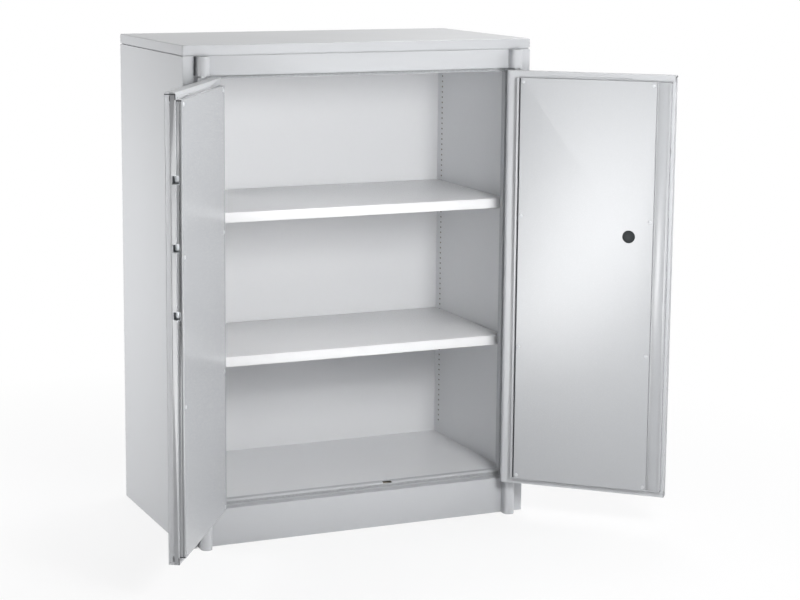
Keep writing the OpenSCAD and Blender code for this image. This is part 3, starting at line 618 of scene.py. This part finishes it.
def screw_head(shape, foot, normal, radius, height, sides):
    """Adds a domed head with a round recess, turned from a profile about its axis"""
    recess_r, recess_d = 0.30 * radius, 0.45 * height
    profile = [(radius * 0.97, 0.0), (radius, height * 0.18), (radius * 0.95, height * 0.42),
               (radius * 0.82, height * 0.68), (radius * 0.62, height * 0.88),
               (radius * 0.42, height * 0.98), (recess_r, height * 0.97),
               (recess_r * 0.9, height - recess_d), (0.0, height - recess_d * 1.2)]
    turn = normal.to_track_quat("Z", "Y").to_matrix().to_4x4()
    place = Matrix.Translation(foot) @ turn
    verts = [shape.verts.new(place @ Vector((r, 0.0, h))) for r, h in profile]
    edges = [shape.edges.new(pair) for pair in zip(verts, verts[1:])]
    bmesh.ops.spin(
        shape, geom=verts + edges, cent=foot, axis=normal, angle=2 * math.pi, steps=sides,
        use_merge=True)


class CABINET_OT_panel_screws(bpy.types.Operator):
    """Model the pan-head screws that hold the inner door panels"""

    bl_idname = "cabinet.panel_screws"
    bl_label = "Panel screws"

    def execute(self, context):
        sides = context.scene.cabinet_finish.screw_sides
        wider, taller = 1.12, 1.15  # the domed head against the plain one of the CAD
        for side in ("left", "right"):
            node = side + "_screws"
            normal = door_normal(side)
            shape = bmesh.new()
            for corners in solids_of(node):
                depths = [corner.dot(normal) for corner in corners]
                low, high = min(depths), max(depths)
                centre = sum(corners, Vector()) / len(corners)
                foot = centre + normal * (low - centre.dot(normal))
                radius = max((corner - foot - normal * (corner - foot).dot(normal)).length
                             for corner in corners)
                screw_head(shape, foot, normal, wider * radius, taller * (high - low), sides)
            bmesh.ops.remove_doubles(shape, verts=shape.verts, dist=WELD)
            bmesh.ops.recalc_face_normals(shape, faces=shape.faces)
            new_piece(side + "_panel_screws", shape, node)
        return {"FINISHED"}


def seen_directly(nodes, links):
    """One where a camera, glossy or transmission ray looks, else zero"""
    path = nodes.new("ShaderNodeLightPath")
    seen = path.outputs["Is Camera Ray"]
    for name in ("Is Glossy Ray", "Is Transmission Ray"):
        either = nodes.new("ShaderNodeMath")
        either.operation = "MAXIMUM"
        links.new(seen, either.inputs[0])
        links.new(path.outputs[name], either.inputs[1])
        seen = either.outputs[0]
    return seen


def pale_world(strength):
    """White where it is seen, softer where it lights"""
    world = bpy.data.worlds.new("Studio")
    bpy.context.scene.world = world
    world.use_nodes = True
    nodes, links = world.node_tree.nodes, world.node_tree.links
    seen = seen_directly(nodes, links)
    level = nodes.new("ShaderNodeMapRange")
    level.inputs["To Min"].default_value = strength
    level.inputs["To Max"].default_value = 1.0
    links.new(seen, level.inputs["Value"])
    links.new(level.outputs["Result"], nodes["Background"].inputs["Strength"])
    nodes["Background"].inputs["Color"].default_value = (1.0, 1.0, 1.0, 1.0)


def floor_material():
    """Pale floor that keeps the shadow near the cabinet and turns white further out"""
    recipe = Recipe("Studio floor")
    nodes, links = recipe.tree.nodes, recipe.tree.links
    dust = recipe.noise(width=0.5, detail=4.0)
    tone = recipe.mix(recipe.span(dust, 0.0, 1.0), (0.80, 0.80, 0.81), (0.83, 0.83, 0.84))
    recipe.finish(tone, recipe.span(dust, 0.85, 0.95))
    distance = nodes.new("ShaderNodeVectorMath")
    distance.operation = "LENGTH"
    links.new(recipe.place, distance.inputs[0])
    fade = recipe.span(distance.outputs["Value"], 0.80, 1.0, start=0.7, stop=1.7)
    share = nodes.new("ShaderNodeMath")
    share.operation = "MULTIPLY"
    links.new(fade, share.inputs[0])
    links.new(seen_directly(nodes, links), share.inputs[1])
    glow = nodes.new("ShaderNodeEmission")
    blend = nodes.new("ShaderNodeMixShader")
    links.new(share.outputs[0], blend.inputs["Fac"])
    links.new(recipe.shader.outputs["BSDF"], blend.inputs[1])
    links.new(glow.outputs["Emission"], blend.inputs[2])
    links.new(blend.outputs["Shader"], nodes["Material Output"].inputs["Surface"])
    return recipe.material


def studio_floor():
    """A wide flat floor under the cabinet"""
    steps, reach = 24, 40.0
    shape = bmesh.new()
    bmesh.ops.create_grid(shape, x_segments=steps, y_segments=steps, size=reach)
    mesh = bpy.data.meshes.new("studio_floor")
    shape.to_mesh(mesh)
    shape.free()
    mesh.materials.append(floor_material())
    floor = bpy.data.objects.new("studio_floor", mesh)
    bpy.context.scene.collection.objects.link(floor)
    return floor


def area_light(name, power, place, target, size, glossy=True, diffuse=True):
    """A softbox that looks at a point; it may be left out of gloss or of diffuse light"""
    lamp = bpy.data.lights.new(name, "AREA")
    lamp.shape = "RECTANGLE"
    lamp.size, lamp.size_y = size
    lamp.energy = power
    light = bpy.data.objects.new(name, lamp)
    light.location = place
    light.rotation_euler = (Vector(target) - Vector(place)).to_track_quat("-Z", "Y").to_euler()
    light.visible_camera = False
    light.visible_glossy = glossy
    light.visible_diffuse = diffuse
    bpy.context.scene.collection.objects.link(light)


def place_lights(studio):
    """Softboxes round the cabinet and two small lamps in front of the opening"""
    low, high = cad_box
    middle = (low + high) / 2
    inside = Vector((0.0, 0.1, 0.75))
    area_light("Upper softbox", studio.upper_power, (0.3, -3.2, 3.4), middle, (2.0, 2.0))
    area_light("Near lamp", studio.near_power, (0.2, -1.5, 0.9), inside, (0.3, 0.3), glossy=False)
    area_light("Front lamp", studio.front_power, (0.2, -2.2, 1.45), inside, (0.5, 0.5),
               glossy=False)
    area_light("Rear softbox", studio.rear_power, (0.6, 4.2, 1.8), middle, (2.0, 2.0),
               glossy=False)
    area_light("End softbox", studio.end_power, (4.2, 1.2, 1.4), middle, (2.0, 2.0),
               glossy=False)
    area_light("Right softbox", studio.right_power, (3.4, -2.0, 3.0), middle, (2.0, 2.0))
    area_light("Side softbox", studio.side_power, (-1.6, 0.4, 0.75), (-0.45, 0.1, 0.75),
               (0.9, 0.5))
    area_light("Back softbox", studio.back_power, (1.6, 1.6, 3.2), middle, (1.5, 1.5))


def place_cards(studio):
    """Cards on the left that give no diffuse light and are only mirrored by glossy paint"""
    area_light("Panel card", studio.card_power, (-2.5, -2.73, 0.38), (0.64, -0.48, 0.87),
               (0.9, 0.7), diffuse=False)
    area_light("Low card", studio.low_card_power, (-1.7, -1.85, 0.30), (0.50, -0.35, 0.55),
               (0.6, 0.4), diffuse=False)
    area_light("Foot card", studio.foot_card_power, (-1.25, -1.40, 0.14), (0.46, -0.31, 0.45),
               (0.5, 0.24), diffuse=False)


def studio_camera(studio):
    """The camera, at the photo's viewing angle"""
    lens = bpy.data.cameras.new("Camera")
    lens.lens = studio.lens
    lens.sensor_width = studio.sensor_width
    lens.shift_x, lens.shift_y = studio.shift
    lens.clip_end = 200.0
    camera = bpy.data.objects.new("Camera", lens)
    aim = (Matrix.Rotation(-studio.camera_turn, 4, "Z")
           @ Matrix.Rotation(math.pi / 2 - studio.camera_tilt, 4, "X")
           @ Matrix.Rotation(studio.camera_roll, 4, "Z"))
    camera.matrix_world = Matrix.Translation(studio.camera_place) @ aim
    bpy.context.scene.collection.objects.link(camera)
    return camera


class CABINET_OT_studio(bpy.types.Operator):
    """Set up the pale floor, the soft light and the camera"""

    bl_idname = "cabinet.studio"
    bl_label = "Studio"

    def execute(self, context):
        studio = context.scene.cabinet_studio
        floor = studio_floor()
        pale_world(studio.sky)
        place_lights(studio)
        place_cards(studio)
        context.scene.camera = studio_camera(studio)
        context.scene.view_settings.view_transform = "Standard"
        return {"FINISHED"}


OPERATORS = (
    CABINET_OT_body,
    CABINET_OT_compartment,
    CABINET_OT_doors,
    CABINET_OT_fire_boards,
    CABINET_OT_hardware,
    CABINET_OT_panel_screws,
    CABINET_OT_door_joints,
    CABINET_OT_studio,
)


class CABINET_PT_tools(bpy.types.Panel):
    """Lists the cabinet's steps"""

    bl_label = "Fireproof cabinet"
    bl_idname = "CABINET_PT_tools"
    bl_space_type = "VIEW_3D"
    bl_region_type = "UI"
    bl_category = "Cabinet"

    def draw(self, context):
        for operator in OPERATORS:
            self.layout.operator(operator.bl_idname)


CLASSES = (CabinetFinish, CabinetStudio, *OPERATORS, CABINET_PT_tools)


def register():
    for each in CLASSES:
        bpy.utils.register_class(each)
    bpy.types.Scene.cabinet_finish = PointerProperty(type=CabinetFinish)
    bpy.types.Scene.cabinet_studio = PointerProperty(type=CabinetStudio)


def unregister():
    del bpy.types.Scene.cabinet_studio
    del bpy.types.Scene.cabinet_finish
    for each in reversed(CLASSES):
        bpy.utils.unregister_class(each)


def main():
    register()
    for operator in OPERATORS:
        step = operator.bl_idname.split(".")[1]
        getattr(bpy.ops.cabinet, step)()


if __name__ == "__main__":
    main()
